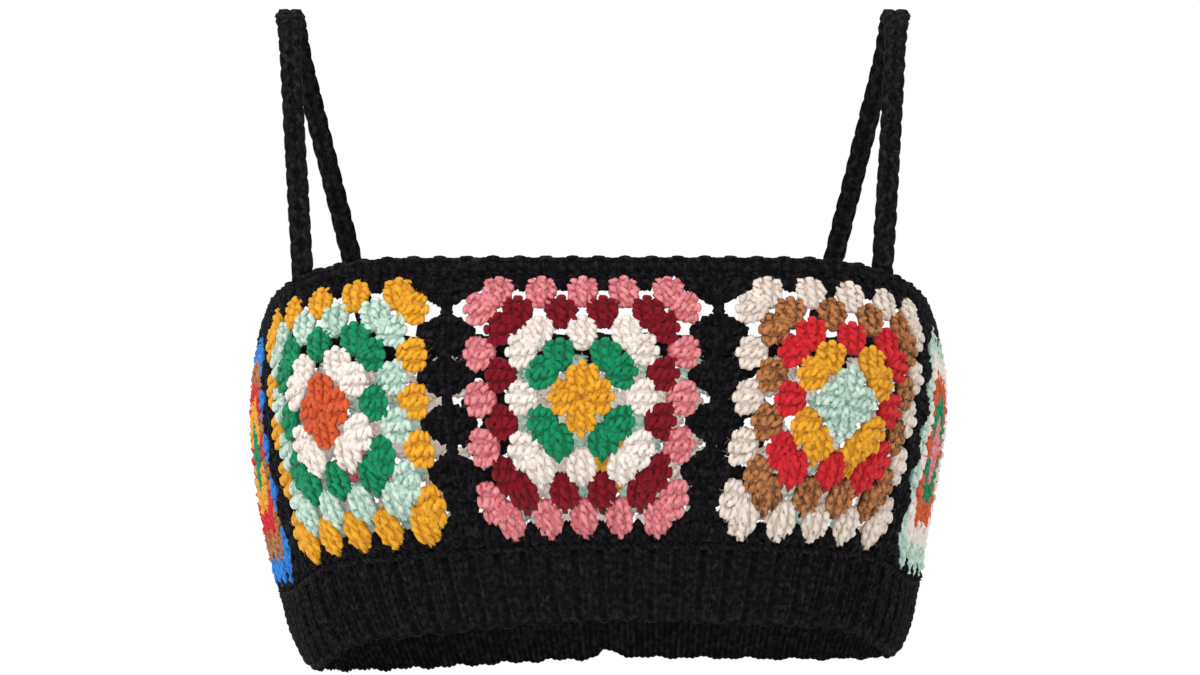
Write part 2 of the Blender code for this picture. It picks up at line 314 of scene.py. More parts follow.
# How uneven the strands are from ring to ring and side to side, and where along them their plies begin
RING_SHARES = (0.90, 1.10)
SIDE_SHARES = (0.92, 1.08)
PLY_START = 20
STITCH_STEPS = 5  # along a stitch of the band, the edging and the straps

# A strand's colour value is partly a random tone of its own, and partly painted crease shade, set by how many
# millimetres it stands off the cloth's middle, where it is darkest
OWN_TONE = 0.3
CREASE_SHADE_SHARE = 0.7
CREASE_DEPTH = 2.2
THIN = (0.4, 0.9)  # shares of the full radius
CLOTH_MIDDLE = 1.6
BAND_MIDDLE = 1.0


class Skein:
    """Collects the strands of one piece, with random draws of its own, and makes its mesh."""

    def __init__(self, seed):
        self.random = np.random.default_rng(seed)
        self.points = []
        self.ply = []
        self.tone_and_shade = []
        self.faces = []
        self.slots = []
        self.count = 0

    def stray(self, amount, size=None):
        """A distance that strays either way by up to this amount."""
        return self.random.uniform(-amount, amount, size)

    def add(self, points, faces, ply, tone_and_shade, slot):
        """Adds flat points and faces, with the yarn's own coordinates and its tone and painted shade at each
        point.
        """
        self.points.append(points)
        self.ply.append(ply)
        self.tone_and_shade.append(tone_and_shade)
        self.faces += [[corner + self.count for corner in face] for face in faces]
        self.slots += [slot] * len(faces)
        self.count += len(points)

    def add_wall(self, points, faces, tone_and_shade, slot):
        """Adds points and faces of yarn pressed together, with no ply of its own."""
        points = points.reshape(-1, 3)
        ply = np.tile((0.0, 1.0, 0.0), (len(points), 1))
        self.add(points, faces, ply, np.broadcast_to(tone_and_shade, len(points)), slot)

    def strands(
        self, paths, radius, slot, lay, sides=5, closed=False, first_side=None,
        scale=(1.0, 1.0, 1.0), middle=CLOTH_MIDDLE,
    ):
        """Uneven round strands along paths, an array of strands, points and places.

        The scale turns places to millimetres. Painted shade: the tone value is low at the middle of the
        cloth, where the creases between strands are, so the strands are painted darker there.
        """
        scale = np.array(scale)
        flat = paths * scale
        number, steps, _ = flat.shape
        across, third = directions_across(flat, closed, first_side)
        angle = TAU * np.arange(sides) / sides
        cos = np.cos(angle)[None, None, :, None]
        sin = np.sin(angle)[None, None, :, None]
        thick = np.broadcast_to(radius, (number, steps))[:, :, None, None]
        plump = thick[..., 0] / np.max(radius)
        thick = thick * self.random.uniform(*RING_SHARES, (number, steps, 1, 1))
        thick = thick * self.random.uniform(*SIDE_SHARES, (number, steps, sides, 1))
        rings = flat[:, :, None] + (across[:, :, None] * cos + third[:, :, None] * sin) * thick
        run = np.linalg.norm(np.diff(flat, axis=1), axis=2)
        run = np.concatenate([np.zeros((number, 1)), np.cumsum(run, axis=1)], axis=1)
        run = run + self.random.uniform(0, PLY_START, (number, 1))
        ply = stacked(run[:, :, None], np.cos(angle), np.sin(angle))
        raised = np.clip(np.abs(rings[..., 2] - middle) / CREASE_DEPTH, 0, 1)
        own = self.random.uniform(0, 1, (number, 1, 1))
        # Painted shade: darker near the cloth's middle, where the creases are, and on thin strands; plus each
        # strand's own random tone
        tone_and_shade = OWN_TONE * own + CREASE_SHADE_SHARE * raised * smooth_step(plump, *THIN)
        placed = lay(rings / scale).reshape(-1, 3)
        faces = tube_faces(number, steps, sides, closed)
        self.add(placed, faces, ply.reshape(-1, 3), tone_and_shade.reshape(-1), slot)

    def mesh_object(self, name, materials):
        mesh = bpy.data.meshes.new(name)
        points = np.concatenate(self.points)
        mesh.from_pydata(points.tolist(), [], self.faces)
        mesh.polygons.foreach_set("material_index", self.slots)
        ply = mesh.attributes.new("ply", "FLOAT_VECTOR", "POINT")
        ply.data.foreach_set("vector", np.concatenate(self.ply).ravel())
        tone_and_shade = mesh.attributes.new("tone_and_shade", "FLOAT", "POINT")
        tone_and_shade.data.foreach_set("value", np.concatenate(self.tone_and_shade))
        for material in materials:
            mesh.materials.append(material)
        mesh.shade_smooth()
        obj = bpy.data.objects.new(name, mesh)
        bpy.context.scene.collection.objects.link(obj)
        return obj


def rounded_ends(steps, least=0.5):
    """Thickness along a strand with rounded ends."""
    share = np.linspace(-1, 1, steps)
    return least + (1 - least) * np.sqrt(np.clip(1 - np.abs(share) ** 6, 0, 1))


def strand_radius(name="strand"):
    """The radius in millimetres of the strands whose thickness has this name."""
    return getattr(bpy.context.scene.crop_top_yarn, name) / 2 / MM


# How much of the yarn's relief its plies and its fibres make
PLY_SHARE = 0.75
FIBRE_SHARE = 0.6


def yarn_material(name):
    """Matt spun yarn: plies that wind round each strand, loose fibres, flecks of another colour, and painted
    shade in the creases.
    """
    recipe = YARNS[name]
    is_black = name == "black"
    sizes = bpy.context.scene.crop_top_yarn
    material = bpy.data.materials.new(name + " yarn")
    material.use_nodes = True
    nodes = material.node_tree.nodes
    links = material.node_tree.links
    shader = nodes["Principled BSDF"]
    shader.inputs["Roughness"].default_value = 0.9
    shader.inputs["Specular IOR Level"].default_value = 0.06 if is_black else 0.12
    shader.inputs["Sheen Weight"].default_value = sizes.black_sheen if is_black else sizes.sheen
    shader.inputs["Sheen Roughness"].default_value = 0.5

    def attribute(label):
        made = nodes.new("ShaderNodeAttribute")
        made.attribute_name = label
        return made

    def linked(socket, value):
        if isinstance(value, (int, float)):
            socket.default_value = value
        else:
            links.new(value, socket)

    def math_node(operation, *values):
        made = nodes.new("ShaderNodeMath")
        made.operation = operation
        for socket, value in zip(made.inputs, values):
            linked(socket, value)
        return made.outputs[0]

    def map_range(value, **ends):
        made = nodes.new("ShaderNodeMapRange")
        linked(made.inputs["Value"], value)
        for label, end in ends.items():
            made.inputs[label.replace("_", " ").title()].default_value = end
        return made.outputs["Result"]

    def noise(scale, detail):
        made = nodes.new("ShaderNodeTexNoise")
        made.inputs["Scale"].default_value = scale
        made.inputs["Detail"].default_value = detail
        links.new(places.outputs["Object"], made.inputs["Vector"])
        return made.outputs["Fac"]

    split = nodes.new("ShaderNodeSeparateXYZ")
    links.new(attribute("ply").outputs["Vector"], split.inputs[0])
    around = math_node("ARCTAN2", split.outputs["Z"], split.outputs["Y"])
    winding = math_node("ADD", math_node("MULTIPLY", split.outputs["X"], TAU / sizes.ply_pitch), around)
    plies = math_node("ABSOLUTE", math_node("SINE", winding))
    places = nodes.new("ShaderNodeTexCoord")
    fibres = math_node("MULTIPLY", noise(scale=1500.0, detail=3.0), FIBRE_SHARE)
    bump = nodes.new("ShaderNodeBump")
    bump.inputs["Strength"].default_value = 0.6
    bump.inputs["Distance"].default_value = sizes.ply_relief
    links.new(math_node("ADD", math_node("MULTIPLY", plies, PLY_SHARE), fibres), bump.inputs["Height"])
    links.new(bump.outputs["Normal"], shader.inputs["Normal"])
    flecks = noise(scale=420.0, detail=2.0)
    fleck_share = map_range(flecks, from_min=0.45, from_max=0.72, to_max=recipe.flecks)
    # Painted shade: creases are painted darker and in the fleck colour, raised strands up to 1.08 times
    # lighter
    tone_and_shade = attribute("tone_and_shade").outputs["Fac"]
    crease_shade_colouring = map_range(tone_and_shade, from_min=0.60, from_max=0.15, to_max=recipe.creases)
    flecked_and_shaded = nodes.new("ShaderNodeMix")
    flecked_and_shaded.data_type = "RGBA"
    flecked_and_shaded.inputs["A"].default_value = (*getattr(bpy.context.scene.crop_top_colours, name), 1.0)
    flecked_and_shaded.inputs["B"].default_value = (*recipe.fleck, 1.0)
    links.new(math_node("MAXIMUM", fleck_share, crease_shade_colouring), flecked_and_shaded.inputs["Factor"])
    crease_shade = sizes.black_crease_shade if is_black else sizes.crease_shade
    shaded = nodes.new("ShaderNodeVectorMath")
    shaded.operation = "SCALE"
    links.new(flecked_and_shaded.outputs["Result"], shaded.inputs[0])
    links.new(map_range(tone_and_shade, to_min=crease_shade, to_max=1.08), shaded.inputs["Scale"])
    links.new(shaded.outputs["Vector"], shader.inputs["Base Color"])
    return material


materials = {}


def yarn(name):
    if name not in materials:
        materials[name] = yarn_material(name)
    return materials[name]


def declare_sheet(core, worked, node):
    """Puts a sheet and its stitches on the body, in place of their node."""
    for piece in (core, worked):
        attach(piece, "root")
    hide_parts(node)


# A fan of trebles, in units from the middle of its cell: how many, half the spread of their feet and heads,
# where they begin and end, how much more the middle one reaches, how the fan opens (1 is straight, less is
# early), and how many millimetres it lies behind the others
Fan = namedtuple("Fan", "trebles foot_half head_half foot head crowning opening sunk", defaults=(0.0,))
FIRST_FAN = Fan(3, 0.16, 0.68, -0.95, 0.38, 0.18, 0.50)
SIDE_FAN = Fan(3, 0.12, 0.70, -0.86, 0.46, 0.14, 0.50)
UPPER_FAN = Fan(3, 0.12, 0.66, -0.86, 0.50, 0.14, 0.48)
LOWER_FAN = Fan(3, 0.14, 0.72, -0.88, 0.44, 0.22, 0.46)
JOINING_FAN = Fan(3, 0.05, 0.82, -0.86, 0.40, 0.00, 1.05)
BAND_FAN = Fan(3, 0.06, 0.78, -1.00, 0.40, 0.00, 0.80)
FILLING_FAN = Fan(2, 0.16, 0.34, -0.40, 0.44, 0.00, 1.00)
SUNK_FAN = Fan(2, 0.34, 0.40, -0.78, 0.44, 0.00, 1.00, 0.9)
CORNER_FAN = Fan(2, 0.10, 0.20, -0.50, 0.24, 0.00, 1.00)
CORNER_IN = 0.45  # units by which the fillings at the corners lie nearer the middle
SIDE_FILLING_ROW = -4

# A place in a square: its column and row, the way it grows, its round, how far it leans to the corner
Cluster = namedtuple("Cluster", "column row grow number lean fan")


def fan_of(number, grow):
    if number == 1:
        return FIRST_FAN
    if number == JOINING_ROUND:
        return BAND_FAN if grow[1] else JOINING_FAN
    return {0: SIDE_FAN, 1: UPPER_FAN, -1: LOWER_FAN}[grow[1]]


def square_clusters():
    """The clusters of trebles of a granny square, round by round."""
    found = []
    for number in range(1, JOINING_ROUND + 1):
        for grow in ((0, 1), (1, 0), (0, -1), (-1, 0)):
            for along in range(1 - number, number, 2):
                column = number * grow[0] + along * grow[1]
                row = number * grow[1] - along * grow[0]
                lean = 0 if abs(along) < number - 1 or number == 1 else math.copysign(1, along)
                found.append(Cluster(column, row, grow, number, lean, fan_of(number, grow)))
    half = math.sqrt(0.5)
    for number in range(2, JOINING_ROUND + 1):
        for side_x in (-1, 1):
            for side_y in (-1, 1):
                place = number - CORNER_IN
                grow = (side_x * half, side_y * half)
                found.append(Cluster(side_x * place, side_y * place, grow, number, 0, CORNER_FAN))
    for along in range(-JOINING_ROUND, JOINING_ROUND + 1, 2):
        for side, fan in ((-1, SUNK_FAN), (1, FILLING_FAN)):
            found.append(Cluster(along, side * JOINING_ROUND, (0, side), JOINING_ROUND, 0, fan))
    for side in (-1, 1):
        column = side * JOINING_ROUND
        found.append(Cluster(column, SIDE_FILLING_ROW, (side, 0), JOINING_ROUND, 0, FILLING_FAN))
    return found


def on_cluster(cluster, across, along, out):
    """Places in a cluster's own cell, in units, as millimetres on the flat square."""
    grow = np.array(cluster.grow, dtype=float)
    aside = np.array([grow[1], -grow[0]])
    x = cluster.column + aside[0] * across + grow[0] * along
    y = cluster.row + aside[1] * across + grow[1] * along
    return stacked(x * UNIT, y * UNIT, out)


# How much of its spread a fan draws in again at its heads, and how far one at a corner leans
DRAWN_IN = 0.22
LOWER_DRAWN_IN = 0.48
LEAN_FOOT = 0.14
LEAN_LOST = 0.04


def fan_line(cluster, place, share):
    """Across and along of one treble's middle line, for place from -1 to 1 in the fan."""
    fan = cluster.fan
    spread = fan.foot_half + (fan.head_half - fan.foot_half) * share**fan.opening
    drawn_in = LOWER_DRAWN_IN if fan is LOWER_FAN else DRAWN_IN
    across = place * spread * (1 - drawn_in * share**4) + cluster.lean * (LEAN_FOOT - LEAN_LOST * share)
    head = fan.head + fan.crowning * (1 - place**2)
    return across, fan.foot + (head - fan.foot) * share


# Trebles: their millimetres out, and the part of a half wave that their arch takes
TREBLE_STEPS = 12
TREBLE_OUT = 0.9
TREBLE_ARCH = 1.3
ARCH_BEGINS = 0.10
ARCH_TAKES = 0.72
OUTER_BACK = 0.4

# A treble's two strands: their turns and sway, and how far they wind and how thick they are in their radius
TREBLE_TWISTS = 2.1
TWIST_SWAY = 0.5
SWAY_TURNS = 1.5
WOUND_ACROSS = 0.80
WOUND_OUT = 0.55
KNOB = 1.06
BETWEEN_KNOBS = 0.72
RAISED_MIDDLE = 0.96
RAISED_MORE = 0.10

# How far the hand strays: tilt, place and path in units, a fan's lift and a treble's in millimetres
TILT_STRAY = 0.05
PLACE_STRAY = 0.03
PATH_STRAY = 0.04
LIFT_STRAY = 0.2
OUT_STRAY = 0.15

# The loop over each treble, in units, but for its millimetres out and its share of the head and the strand
CAP_STEPS = 5
CAP_HALF = 0.20
CAP_BELOW = 0.10
CAP_ARCH = 0.06
CAP_OUT = 0.5
CAP_SHARE = 0.9


def add_clusters(skein, clusters, slots, lay):
    """The trebles of the clusters: two strands wound round each other, with a chain loop over the top."""
    strand = strand_radius()
    share = np.linspace(0, 1, TREBLE_STEPS)
    over = np.linspace(-1, 1, CAP_STEPS)
    cap_arch = 1 - over**2
    for cluster in clusters:
        trebles = []
        thick = []
        caps = []
        tilt = skein.stray(TILT_STRAY)
        lift = skein.stray(LIFT_STRAY)
        for number in range(cluster.fan.trebles):
            place = 2 * number / (cluster.fan.trebles - 1) - 1
            across, along = fan_line(cluster, place, share)
            across = across + tilt * share + skein.stray(PLACE_STRAY)
            along = along + skein.stray(PATH_STRAY) * share
            arch = np.sin(np.pi * (ARCH_BEGINS + ARCH_TAKES * share))
            out = TREBLE_OUT + TREBLE_ARCH * arch - OUTER_BACK * abs(place)
            out = out - cluster.fan.sunk + lift + skein.stray(OUT_STRAY)
            winding = TAU * (TREBLE_TWISTS * share + skein.random.uniform())
            winding = winding + TWIST_SWAY * np.sin(TAU * (SWAY_TURNS * share + skein.random.uniform()))
            for side_number in (0, 1):
                wound = WOUND_ACROSS * strand / UNIT * np.cos(winding + math.pi * side_number)
                raised = np.sin(winding + math.pi * side_number)
                uneven = skein.stray(PATH_STRAY, (2, TREBLE_STEPS))
                side_out = out + WOUND_OUT * strand * raised
                trebles.append(on_cluster(cluster, across + wound + uneven[0], along + uneven[1], side_out))
                knobs = np.where((np.arange(TREBLE_STEPS) + side_number) % 2, KNOB, BETWEEN_KNOBS)
                plump = RAISED_MIDDLE + RAISED_MORE * raised
                thick.append(strand * knobs * plump * rounded_ends(TREBLE_STEPS))
            cap_across = CAP_SHARE * across[-1] + CAP_HALF * over
            cap_along = along[-1] - CAP_BELOW + CAP_ARCH * cap_arch
            caps.append(on_cluster(cluster, cap_across, cap_along, out[-1] + CAP_OUT + CAP_OUT * cap_arch))
        slot = slots[cluster.number]
        skein.strands(np.array(trebles), np.array(thick), slot, lay)
        if cluster.fan not in (CORNER_FAN, LOWER_FAN):
            skein.strands(np.array(caps), CAP_SHARE * strand * rounded_ends(CAP_STEPS, least=0.6), slot, lay)


# Loose hairs, in units, with their radius and distances out in millimetres
FUZZ_HAIRS = 8
FUZZ_STEPS = 4
FUZZ_RADIUS = 0.05
FUZZ_PLACE = 0.4
FUZZ_BEND = 0.3
FUZZ_FOOT = 0.40
FUZZ_LENGTHS = (0.10, 0.50)
FUZZ_OUT = 2.2
FUZZ_RISES = (-0.4, 1.2)


def add_fuzz(skein, clusters, slots, lay):
    """Loose fibres that stand off the heads of the last coloured round."""
    share = np.linspace(0, 1, FUZZ_STEPS)
    for cluster in clusters:
        if cluster.number != JOINING_ROUND - 1:
            continue
        hairs = []
        for _ in range(FUZZ_HAIRS):
            across = skein.stray(FUZZ_PLACE) + skein.stray(FUZZ_BEND) * share**2
            along = FUZZ_FOOT + skein.random.uniform(*FUZZ_LENGTHS) * share
            out = FUZZ_OUT + skein.random.uniform(*FUZZ_RISES) * share
            hairs.append(on_cluster(cluster, across, along, out))
        skein.strands(np.array(hairs), FUZZ_RADIUS, slots[cluster.number], lay, sides=3)


# The inner body of a fan: places up it, and how far it reaches past the outermost treble there
Reach = namedtuple("Reach", "share past")
CORE_OUTLINE = (Reach(0.04, 0.00), Reach(0.30, 0.11), Reach(0.58, 0.15), Reach(0.84, 0.14), Reach(1.0, -0.04))
CORE_LOW = 0.8
CORE_HIGH = 2.3
# Painted shade of the fans' inner bodies, which show in the creases between the trebles
CORE_SHADE = 0.5


def add_cores(skein, clusters, slots, lay):
    """The inner body of each fan, where the wraps of its trebles press together."""
    share = np.array([reach.share for reach in CORE_OUTLINE])
    past = np.array([reach.past for reach in CORE_OUTLINE])
    faces = tube_faces(1, 2, 2 * len(share))
    for cluster in clusters:
        right, along = fan_line(cluster, 1.0, share)
        left, along = fan_line(cluster, -1.0, share)
        across = np.concatenate([right + past, (left - past)[::-1]])
        along = np.concatenate([along, along[::-1]])
        bottom = on_cluster(cluster, across, along, CORE_LOW - cluster.fan.sunk)
        top = on_cluster(cluster, across, along, CORE_HIGH - cluster.fan.sunk)
        skein.add_wall(lay(np.concatenate([bottom, top])), faces, CORE_SHADE, slots[cluster.number])


# The joining stitches: how far in from a square's edges in units, and shares of the strand
JOIN_STEPS = 64
JOIN_TWISTS = 24
JOIN_IN = 0.11
JOIN_SHORT = 0.1
JOIN_ACROSS = 0.6
JOIN_OUT = 0.7
JOIN_THICK = 0.85


def add_join(skein, slot, lay):
    """The stitches that join a square to the next, up both its sides."""
    strand = strand_radius()
    share = np.linspace(0, 1, JOIN_STEPS)
    winding = TAU * JOIN_TWISTS * share
    paths = []
    for side in (-1, 1):
        for phase in (0, math.pi):
            x = side * (EDGE - JOIN_IN) * UNIT + JOIN_ACROSS * strand * np.cos(winding + phase)
            y = (2 * share - 1) * (EDGE - JOIN_SHORT) * UNIT
            out = CLOTH_MIDDLE + JOIN_OUT * strand * np.sin(winding + phase)
            paths.append(stacked(x, y, out))
    skein.strands(np.array(paths), JOIN_THICK * strand, slot, lay)


def make_square(index, name):
    """One granny square: its stitches, and the inner bodies of its fans as the sheet they are worked into."""
    rounds = SQUARE_ROUNDS[name].split() + ["black"]
    used = list(dict.fromkeys(rounds))
    slots = {number + 1: used.index(colour) for number, colour in enumerate(rounds)}
    shades = [yarn(colour) for colour in used]
    lay = lay_on_square(index)
    clusters = square_clusters()
    stitches = Skein(100 + index)
    add_clusters(stitches, clusters, slots, lay)
    add_join(stitches, slots[JOINING_ROUND], lay)
    add_fuzz(stitches, clusters, slots, lay)
    worked = stitches.mesh_object(name + "_stitches", shades)
    ground = Skein(200 + index)
    add_cores(ground, clusters, slots, lay)
    core = ground.mesh_object(name + "_core", shades)
    declare_sheet(core, worked, name)


# The band's wall: how far from a rib's middle its ridge begins and is full, millimetres out, and its painted
# shade, dark in the grooves outside and in the valleys inside
WALL_ROWS = 5
WALL_STEPS = 16
RIDGE_EDGES = (0.47, 0.24)
WALL_OUTER = 1.6
WALL_RIDGE = 0.8
WALL_INNER = 0.4
WALL_FOOT = -0.0002  # metres
GROOVE_SHADE = 0.15
INNER_SHADE = 0.6
INNER_SWING = 0.5
INNER_COLUMNS = 4  # to a rib
BAND_SCALE = (700.0, 1000.0, 1.0)  # millimetres in a turn, in a metre and in a millimetre


def make_rib_wall():
    """The band's own wall, ribbed on both faces, as one ring."""
    skein = Skein(300)
    steps = RIBS * WALL_STEPS
    turn = np.arange(steps) / steps - 0.5
    phase = (turn + 0.5) * RIBS
    ridge = smooth_step(np.abs((phase % 1) - 0.5), *RIDGE_EDGES)
    column = np.cos(TAU * INNER_COLUMNS * phase)
    height = np.linspace(WALL_FOOT, RIB_HEIGHT, WALL_ROWS)
    # Painted shade: the outside is darker in its grooves, the inside darker in the valleys between its inward
    # ridges and lighter on them
    outside = (WALL_OUTER + WALL_RIDGE * ridge, height, GROOVE_SHADE + (1 - GROOVE_SHADE) * ridge)
    inside = (WALL_INNER + WALL_INNER * column, height[::-1], INNER_SHADE - INNER_SWING * column)
    rows = []
    painted_shades = []
    for out, heights, tone_and_shade in (outside, inside):
        for level in heights:
            painted_shades.append(tone_and_shade)
            rows.append(stacked(turn, level, out))
    faces = tube_faces(1, len(rows), steps, closed=True)
    skein.add_wall(lay_on_band(np.array(rows)), faces, np.array(painted_shades).ravel(), 0)
    return skein.mesh_object("rib_band_wall", [yarn("black")])


# The ropes along the band's edges: level in metres, millimetres out, and share of the strand's thickness
Rope = namedtuple("Rope", "level out thick")
EDGE_ROPES = (Rope(0.0000, 1.2, 0.75), Rope(RIB_HEIGHT, 2.4, 0.95))
ROPE_TWISTS = 2 * RIBS
ROPE_STEPS = 900
ROPE_WOUND = 0.8


def band_strands(skein, paths, radius, **options):
    skein.strands(
        np.array(paths), radius, 0, lay_on_band, scale=BAND_SCALE, middle=BAND_MIDDLE, **options
    )


def add_edge_rope(skein, rope, strand):
    """Two strands wound round each other along an edge of the band."""
    strand = rope.thick * strand
    share = np.linspace(0, 1, ROPE_STEPS)
    paths = []
    for side in (0, math.pi):
        winding = TAU * ROPE_TWISTS * share + side
        height = rope.level + ROPE_WOUND * strand * MM * np.cos(winding)
        out = rope.out + ROPE_WOUND * strand * np.sin(winding)
        paths.append(stacked(share - 0.5, height, out))
    band_strands(skein, paths, strand, sides=4)


# The knit stitches, two columns of V on every rib. A V's legs open, stand out and stray by millimetres.
COLUMN_PLACES = (0.35, 0.65)
RIB_ROWS = 9
V_FOOT = 0.0016  # metres
V_LOWER = 0.0004
V_LENGTH = 1.28  # rows
V_CLOSED = 0.35
V_OPENS = 1.15
V_CURVE = 0.8
V_OUT = 2.0
V_ARCH = 0.75
V_SWAY = 0.15
V_STRAY = 0.12
RIB_MARGIN = 0.002

# The seam at the centre back
SEAM_STEPS = 40
SEAM_TWISTS = 7
SEAM_FOOT = 0.0012
SEAM_OUT = 0.2
SEAM_WOUND_OUT = 0.6
SEAM_WOUND_ACROSS = 0.8


def add_knit(skein, strand):
    share = np.linspace(0, 1, STITCH_STEPS)
    pitch = (RIB_HEIGHT - RIB_MARGIN) / RIB_ROWS
    millimetre = 1 / BAND_SCALE[0]
    paths = []
    for rib in range(RIBS):
        for place in COLUMN_PLACES:
            middle = (rib + place) / RIBS - 0.5
            for row in range(RIB_ROWS):
                foot = V_FOOT + row * pitch
                sway = skein.stray(V_SWAY)
                for side in (-1, 1):
                    turn = middle + millimetre * (sway + side * (V_CLOSED + V_OPENS * share**V_CURVE))
                    height = foot + V_LENGTH * pitch * share - V_LOWER
                    out = V_OUT + V_ARCH * np.sin(math.pi * share) + skein.stray(V_STRAY)
                    paths.append(stacked(turn, height, out))
    band_strands(skein, paths, strand * rounded_ends(STITCH_STEPS, least=0.6), sides=4)


def add_seam(skein, strand):
    up = np.linspace(0, 1, SEAM_STEPS)
    millimetre = 1 / BAND_SCALE[0]
    height = SEAM_FOOT + (RIB_HEIGHT - RIB_MARGIN) * up
    paths = []
    for side in (0, math.pi):
        winding = TAU * SEAM_TWISTS * up + side
        turn = 0.5 + millimetre * SEAM_WOUND_ACROSS * strand * np.cos(winding)
        paths.append(stacked(turn, height, SEAM_OUT + SEAM_WOUND_OUT * np.sin(winding)))
    band_strands(skein, paths, strand)


def make_rib_stitches():
    """The knit stitches that show on the band's outside, its two edges and its seam."""
    strand = strand_radius("rib_strand")
    skein = Skein(310)
    add_knit(skein, strand)
    for rope in EDGE_ROPES:
        add_edge_rope(skein, rope, strand)
    add_seam(skein, strand)
    return skein.mesh_object("rib_band_stitches", [yarn("black")])


# Crocheted top edge. Distances out and across are in millimetres, heights in metres.
EDGING_STITCHES = 240
EDGING_BUMPS = 80
BUMP_HEIGHT = 0.0005
EDGING_SCALE = (845.0, 1000.0, 1.0)
EDGING_STRAY = 0.15
POST_FOOT = 0.0024
POST_HEAD = 0.0014
POST_CLOSED = 0.3
POST_OPENS = 0.8
POST_OUT = 1.5
POST_ARCH = 1.1
LOOP_STEPS = 8
LOOP_LONG = 2.3
LOOP_BELOW = 0.0007
LOOP_TILT = 0.0004
LOOP_OUT = 1.7
LOOP_DEEP = 1.15
LOOP_THICK = 0.85


def make_top_edging():
    """A row of short stitches round the top, with a chain of loops along its edge that rises in bumps."""
    strand = strand_radius()
    skein = Skein(400)
    share = np.linspace(0, 1, STITCH_STEPS)
    turning = np.linspace(0, TAU, LOOP_STEPS, endpoint=False)
    millimetre = 1 / EDGING_SCALE[0]
    post_out = POST_OUT + POST_ARCH * np.sin(math.pi * share)
    posts = []
    loops = []
    for stitch in range(EDGING_STITCHES):
        middle = stitch / EDGING_STITCHES - 0.5
        bump = BUMP_HEIGHT * math.cos(TAU * stitch * EDGING_BUMPS / EDGING_STITCHES)
        for side in (-1, 1):
            opened = side * (POST_CLOSED + POST_OPENS * share)
            turn = middle + millimetre * (opened + skein.stray(EDGING_STRAY))
            foot = BODY_LENGTH - EDGING_HEIGHT - POST_FOOT
            height = foot + (EDGING_HEIGHT + POST_HEAD + bump) * share
            posts.append(stacked(turn, height, post_out))
        turn = middle + millimetre * (LOOP_LONG * np.cos(turning) + skein.stray(EDGING_STRAY))
        height = BODY_LENGTH - LOOP_BELOW + bump + LOOP_TILT * np.sin(turning)
        loops.append(stacked(turn, height, LOOP_OUT + LOOP_DEEP * np.sin(turning)))
    skein.strands(np.array(posts), strand * rounded_ends(STITCH_STEPS), 0, lay_on_band, scale=EDGING_SCALE)
    skein.strands(
        np.array(loops), LOOP_THICK * strand, 0, lay_on_band,
        closed=True, first_side=(0, 1, 0), scale=EDGING_SCALE,
    )
    return skein.mesh_object("top_edging_stitches", [yarn("black")])


def strap_foot(side, back):
    """The middle of the strap's end on the top edge."""
    even = np.linspace(-0.5, 0.5, TURN_STEPS + 1)
    ring = form_ring(BODY_LENGTH)
    chosen = (ring[:, 1] > 0) == back
    order = np.argsort(ring[chosen, 0])
    reach = side * (STRAP_BACK_X if back else STRAP_FRONT_X)
    turn = np.interp(reach, ring[chosen, 0][order], even[chosen][order])
    height = BODY_LENGTH + STRAP_FOOT_RISE
    return body.point(np.array([turn]), np.array([height]), np.array([STRAP_FOOT_OUT]))[0]


def strap_line(side, place):
    """Middles of the strap, for an array of places from -1 at the front foot to 1 at the back foot."""
    crest = np.array([side * STRAP_CREST_X, STRAP_CREST_Y, STRAP_THICKNESS / 2])
    feet = np.where(place[:, None] > 0, strap_foot(side, True), strap_foot(side, False))
    away = np.abs(place)
    whole = math.hypot(1, STRAP_ROUNDING) - STRAP_ROUNDING
    fall = (np.hypot(away, STRAP_ROUNDING) - STRAP_ROUNDING) / whole
    line = crest + (feet - crest) * fall[:, None]
    line[:, 1] = crest[1] + (feet[:, 1] - crest[1]) * away
    return line


STRAP_STEPS = 401


class StrapForm:
    """A strap's middle line with even steps along it, and the ways across and through it."""

    def __init__(self, side):
        place = np.linspace(-1, 1, STRAP_STEPS)
        line = strap_line(side, place)
        run = np.concatenate([[0], np.cumsum(np.linalg.norm(np.diff(line, axis=0), axis=1))])
        self.length = run[-1]
        even = np.linspace(0, self.length, STRAP_STEPS)
        self.place = np.interp(even, run, place)
        self.line = np.column_stack([np.interp(even, run, line[:, k]) for k in range(3)])
        along = np.gradient(self.line, axis=0)
        along /= np.linalg.norm(along, axis=1, keepdims=True)
        across = np.array([1.0, 0.0, 0.0]) - along * along[:, :1]
        self.across = across / np.linalg.norm(across, axis=1, keepdims=True)
        self.through = np.cross(along, self.across)
        self.index = np.linspace(0, 1, STRAP_STEPS)

    def width(self, share):
        away = np.abs(np.interp(share, self.index, self.place))
        return STRAP_CREST_WIDTH + (STRAP_LEG_WIDTH - STRAP_CREST_WIDTH) * smooth_step(away, 0.0, STRAP_FLARE)

    def lay(self, points):
        """Lays points given as millimetres along, shares of half the width across and millimetres through."""
        share = points[..., 0] * MM / self.length

        def read(table):
            return np.stack([np.interp(share, self.index, table[:, k]) for k in range(3)], axis=-1)

        half = self.width(share) / 2
        across = read(self.across) * (points[..., 1] * half)[..., None]
        through = read(self.through) * (points[..., 2] * MM)[..., None]
        return read(self.line) + across + through


# A strap's core: shares of half the width across, and millimetres through
CORD_STEPS = 64
CORD_SIDES = 8
CORD_HALF = 0.95
CORD_THROUGH = 2.00
# Painted shade that darkens the core, which shows between the stitches
CORD_SHADE = 0.3


